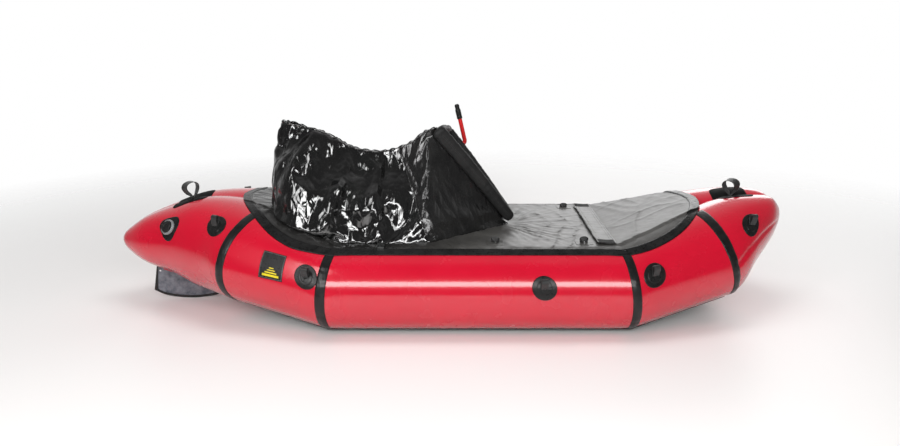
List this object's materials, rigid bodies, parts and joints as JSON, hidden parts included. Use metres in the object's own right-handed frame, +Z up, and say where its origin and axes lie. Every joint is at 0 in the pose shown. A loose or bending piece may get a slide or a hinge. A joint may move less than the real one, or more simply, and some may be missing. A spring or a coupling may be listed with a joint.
{
  "type": "packraft",
  "caption": "Decked inflatable packraft: welded tube hull with upturned pointed ends, wrinkled spray deck, tall waist hood, padded seat, slide-in fin, grab and tie-down loops.",
  "frame": {"origin": "on the ground under the middle of the boat's overall length and beam", "axes": "+X to the bow, -Y to starboard, +Z up"},
  "size_m": [2.5, 0.9532, 0.7424],
  "materials": {
    "red_fabric": "coated cloth, semi-gloss",
    "seam_tape": "coated tape, satin",
    "deck_cloth": "coated cloth with a soft sheen",
    "skirt_cloth": "wet-look coated cloth",
    "webbing": "woven, matte",
    "patch_rubber": "satin",
    "black_plastic": "moulded, satin",
    "valve_plastic": "translucent grey, glossy",
    "red_hose": "smooth, satin",
    "fin_plastic": "moulded, satin",
    "seat_cloth": "matte"
  },
  "bodies": {
    "hull": {"bow_nose": "red_fabric", "bow_quarter_port": "red_fabric", "bow_quarter_starboard": "red_fabric", "buckle_strap": "webbing", "deck": "deck_cloth", "deck_edge_tape": "seam_tape", "deck_loop_1_port": "webbing", "deck_loop_1_starboard": "webbing", "deck_loop_2_port": "webbing", "deck_loop_2_starboard": "webbing", "fin_base": "red_fabric", "floor_sheet": "deck_cloth", "grab_patch_bow": "patch_rubber", "grab_patch_stern": "patch_rubber", "hood_brace": "skirt_cloth", "label_patch": "patch_rubber", "seam_tape_bow_port": "seam_tape", "seam_tape_bow_starboard": "seam_tape", "seam_tape_nose": "seam_tape", "seam_tape_stern_port": "seam_tape", "seam_tape_stern_starboard": "seam_tape", "seam_tape_tail": "seam_tape", "seat_cushion": "seat_cloth", "side_tube_port": "red_fabric", "side_tube_starboard": "red_fabric", "skirt_tunnel": "skirt_cloth", "stern_cone": "red_fabric", "stern_quarter_port": "red_fabric", "stern_quarter_starboard": "red_fabric", "tie_patch_aft_port": "patch_rubber", "tie_patch_aft_starboard": "patch_rubber", "tie_patch_fore_port": "patch_rubber", "tie_patch_fore_starboard": "patch_rubber", "tie_patch_mid_port": "patch_rubber", "tie_patch_mid_starboard": "patch_rubber", "tie_patch_nose_port": "patch_rubber", "tie_patch_nose_starboard": "patch_rubber", "tie_patch_tail_port": "patch_rubber", "tie_patch_tail_starboard": "patch_rubber", "valve_body": "valve_plastic", "valve_patch": "patch_rubber"},
    "fin": {"fin": "fin_plastic"},
    "valve_cap": {"valve_cap": "black_plastic"},
    "seat_backrest": {"seat_backrest": "seat_cloth"},
    "deck_flap": {"deck_flap": "deck_cloth"},
    "strap_buckle": {"strap_buckle": "black_plastic"},
    "hood_gear": {"oral_tube": "red_hose"},
    "mouthpiece": {"oral_mouthpiece": "black_plastic"},
    "grab_loop_stern": {"grab_loop_stern": "webbing"},
    "grab_loop_bow": {"grab_loop_bow": "webbing"},
    "tie_loop_tail_starboard": {"tie_loop_tail_starboard": "webbing"},
    "tie_loop_tail_port": {"tie_loop_tail_port": "webbing"},
    "tie_loop_aft_starboard": {"tie_loop_aft_starboard": "webbing"},
    "tie_loop_aft_port": {"tie_loop_aft_port": "webbing"},
    "tie_loop_mid_starboard": {"tie_loop_mid_starboard": "webbing"},
    "tie_loop_mid_port": {"tie_loop_mid_port": "webbing"},
    "tie_loop_fore_starboard": {"tie_loop_fore_starboard": "webbing"},
    "tie_loop_fore_port": {"tie_loop_fore_port": "webbing"},
    "tie_loop_nose_starboard": {"tie_loop_nose_starboard": "webbing"},
    "tie_loop_nose_port": {"tie_loop_nose_port": "webbing"}
  },
  "joints": [
    {"name": "hood_collapse", "type": "slide", "parent": "hull", "child": "hood_gear", "axis": [0, 0, -1], "range_m": [0, 0.2], "deforming": ["skirt_tunnel", "hood_brace"]},
    {"name": "mouthpiece_push", "type": "slide", "parent": "hood_gear", "child": "mouthpiece", "axis": [0.2249, 0, -0.9744], "range_m": [0, 0.0035]},
    {"name": "fin_slide", "type": "slide", "parent": "hull", "child": "fin", "axis": [-0.9509, 0, 0.3095], "range_m": [0, 0.22]},
    {"name": "valve_cap_turn", "type": "hinge", "parent": "hull", "child": "valve_cap", "pos_m": [-1.02457, -0.1589, 0.32559], "axis": [-0.4685, -0.7243, 0.5058], "continuous": true},
    {"name": "backrest_fold", "type": "hinge", "parent": "hull", "child": "seat_backrest", "pos_m": [-0.348, 0, 0.07253], "axis": [0, 1, 0], "range_deg": [0, 35]},
    {"name": "flap_lift", "type": "hinge", "parent": "hull", "child": "deck_flap", "pos_m": [0.578, 0, 0.3074], "axis": [0, 1, 0], "range_deg": [0, 85]},
    {"name": "buckle_lift", "type": "hinge", "parent": "hull", "child": "strap_buckle", "pos_m": [-0.238, -0.331, 0.30032], "axis": [1, 0, 0], "range_deg": [0, 60]},
    {"name": "grab_loop_stern_swing", "type": "hinge", "parent": "hull", "child": "grab_loop_stern", "pos_m": [-0.96884, 0, 0.40097], "axis": [0, 1, 0], "range_deg": [-32, 32]},
    {"name": "grab_loop_bow_swing", "type": "hinge", "parent": "hull", "child": "grab_loop_bow", "pos_m": [1.06157, 0, 0.40906], "axis": [0, 1, 0], "range_deg": [-32, 32]},
    {"name": "tie_loop_tail_starboard_swing", "type": "hinge", "parent": "hull", "child": "tie_loop_tail_starboard", "pos_m": [-0.82564, -0.25088, 0.35583], "axis": [0.8861, -0.4634, -0.0019], "range_deg": [0, 100]},
    {"name": "tie_loop_tail_port_swing", "type": "hinge", "parent": "hull", "child": "tie_loop_tail_port", "pos_m": [-0.82564, 0.25088, 0.35583], "axis": [-0.8861, -0.4634, 0.0019], "range_deg": [0, 100]},
    {"name": "tie_loop_aft_starboard_swing", "type": "hinge", "parent": "hull", "child": "tie_loop_aft_starboard", "pos_m": [-0.48478, -0.43088, 0.22483], "axis": [0.9641, -0.2503, -0.089], "range_deg": [0, 100]},
    {"name": "tie_loop_aft_port_swing", "type": "hinge", "parent": "hull", "child": "tie_loop_aft_port", "pos_m": [-0.48478, 0.43088, 0.22483], "axis": [-0.9641, -0.2503, 0.089], "range_deg": [0, 100]},
    {"name": "tie_loop_mid_starboard_swing", "type": "hinge", "parent": "hull", "child": "tie_loop_mid_starboard", "pos_m": [0.31537, -0.45639, 0.19186], "axis": [0.998, 0.0178, 0.0601], "range_deg": [0, 100]},
    {"name": "tie_loop_mid_port_swing", "type": "hinge", "parent": "hull", "child": "tie_loop_mid_port", "pos_m": [0.31537, 0.45639, 0.19186], "axis": [-0.998, 0.0178, -0.0601], "range_deg": [0, 100]},
    {"name": "tie_loop_fore_starboard_swing", "type": "hinge", "parent": "hull", "child": "tie_loop_fore_starboard", "pos_m": [0.68914, -0.42283, 0.22818], "axis": [0.9529, 0.2894, 0.0905], "range_deg": [0, 100]},
    {"name": "tie_loop_fore_port_swing", "type": "hinge", "parent": "hull", "child": "tie_loop_fore_port", "pos_m": [0.68914, 0.42283, 0.22818], "axis": [-0.9529, 0.2894, -0.0905], "range_deg": [0, 100]},
    {"name": "tie_loop_nose_starboard_swing", "type": "hinge", "parent": "hull", "child": "tie_loop_nose_starboard", "pos_m": [1.07043, -0.22719, 0.35428], "axis": [0.9104, 0.3917, -0.1335], "range_deg": [0, 100]},
    {"name": "tie_loop_nose_port_swing", "type": "hinge", "parent": "hull", "child": "tie_loop_nose_port", "pos_m": [1.07043, 0.22719, 0.35428], "axis": [-0.9104, 0.3917, 0.1335], "range_deg": [0, 100]}
  ]
}
